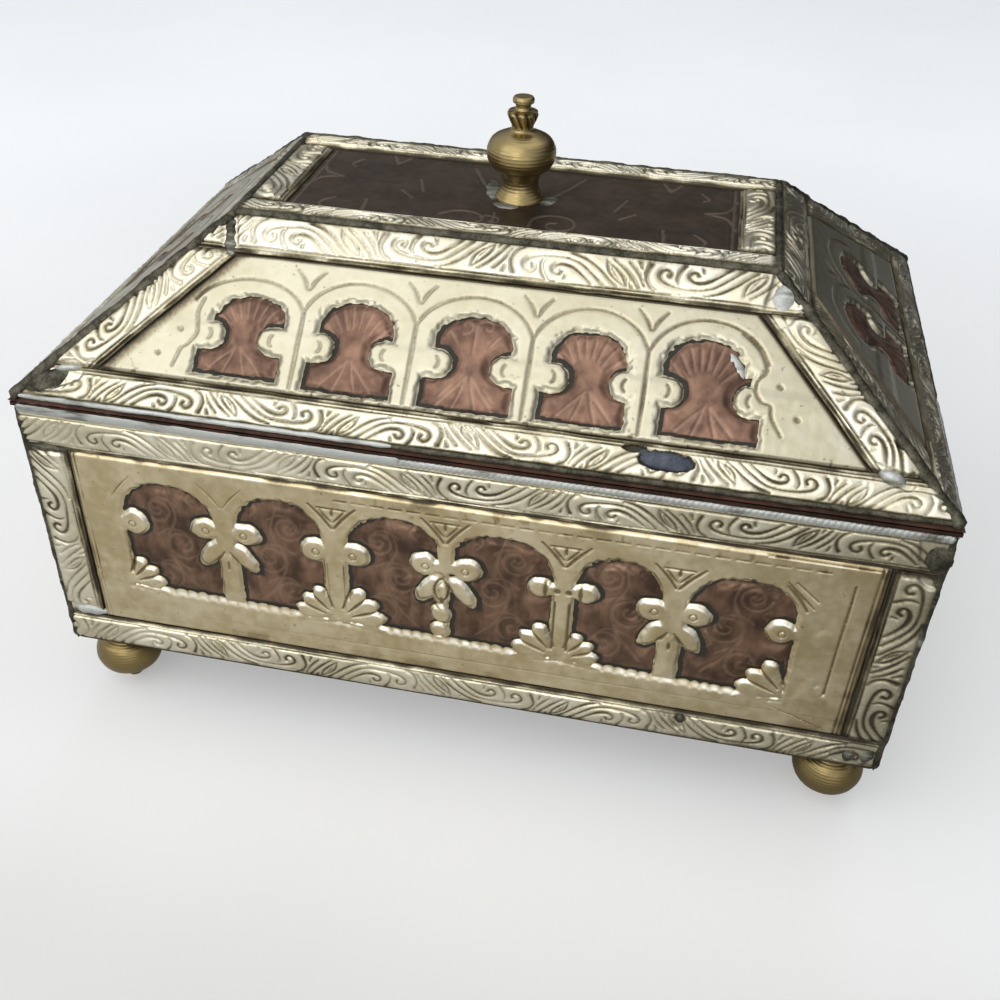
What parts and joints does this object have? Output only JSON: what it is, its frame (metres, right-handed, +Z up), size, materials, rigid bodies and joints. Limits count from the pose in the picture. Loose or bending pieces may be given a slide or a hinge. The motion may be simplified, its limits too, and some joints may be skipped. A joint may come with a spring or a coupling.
{
  "type": "jewelry chest",
  "caption": "Copper jewelry chest with pierced arcades, embossed edge bands, turned feet and a hinged hipped lid with a knob.",
  "frame": {"origin": "on the table, under the middle of the box", "axes": "+X along the long side to the right seen from the front, +Y to the back where the hinge is, +Z up"},
  "size_m": [0.18, 0.1144, 0.1307],
  "materials": {
    "copper": "engraved copper sheet, brown patina",
    "dark_copper": "engraved copper sheet, dark patina",
    "nickel_silver": "embossed nickel silver, dark in the hollows",
    "brass": "turned brass, aged",
    "solder": "tin solder, dull grey"
  },
  "bodies": {
    "base": {"back_left_foot": "brass", "back_right_foot": "brass", "base_back_bottom_band": "nickel_silver", "base_back_left_corner_band": "nickel_silver", "base_back_overlay": "nickel_silver", "base_back_top_band": "nickel_silver", "base_back_wall": "copper", "base_floor_plate": "copper", "base_front_bottom_band": "nickel_silver", "base_front_overlay": "nickel_silver", "base_front_right_corner_band": "nickel_silver", "base_front_top_band": "nickel_silver", "base_front_wall": "copper", "base_left_bottom_band": "nickel_silver", "base_left_front_corner_band": "nickel_silver", "base_left_overlay": "nickel_silver", "base_left_top_band": "nickel_silver", "base_left_wall": "copper", "base_right_back_corner_band": "nickel_silver", "base_right_bottom_band": "nickel_silver", "base_right_overlay": "nickel_silver", "base_right_top_band": "nickel_silver", "base_right_wall": "copper", "base_solder_seams": "solder", "front_left_foot": "brass", "front_right_foot": "brass", "hinge_base_leaf": "brass", "hinge_pin": "brass"},
    "lid": {"lid_back_left_hip_band": "nickel_silver", "lid_back_overlay": "nickel_silver", "lid_back_ridge_band": "nickel_silver", "lid_back_rim_band": "nickel_silver", "lid_back_slope": "copper", "lid_front_overlay": "nickel_silver", "lid_front_ridge_band": "nickel_silver", "lid_front_right_hip_band": "nickel_silver", "lid_front_rim_band": "nickel_silver", "lid_front_slope": "copper", "lid_left_front_hip_band": "nickel_silver", "lid_left_overlay": "nickel_silver", "lid_left_ridge_band": "nickel_silver", "lid_left_rim_band": "nickel_silver", "lid_left_slope": "copper", "lid_right_back_hip_band": "nickel_silver", "lid_right_overlay": "nickel_silver", "lid_right_ridge_band": "nickel_silver", "lid_right_rim_band": "nickel_silver", "lid_right_slope": "copper", "lid_solder_seams": "solder", "lid_top_back_band": "nickel_silver", "lid_top_front_band": "nickel_silver", "lid_top_left_band": "nickel_silver", "lid_top_plate": "dark_copper", "lid_top_right_band": "nickel_silver", "knob": "brass", "hinge_lid_leaf": "brass"}
  },
  "joints": [
    {"name": "lid_hinge", "type": "hinge", "parent": "base", "child": "lid", "pos_m": [0, 0.05725, 0.0807], "axis": [-1, 0, 0], "range_deg": [0, 110]}
  ]
}
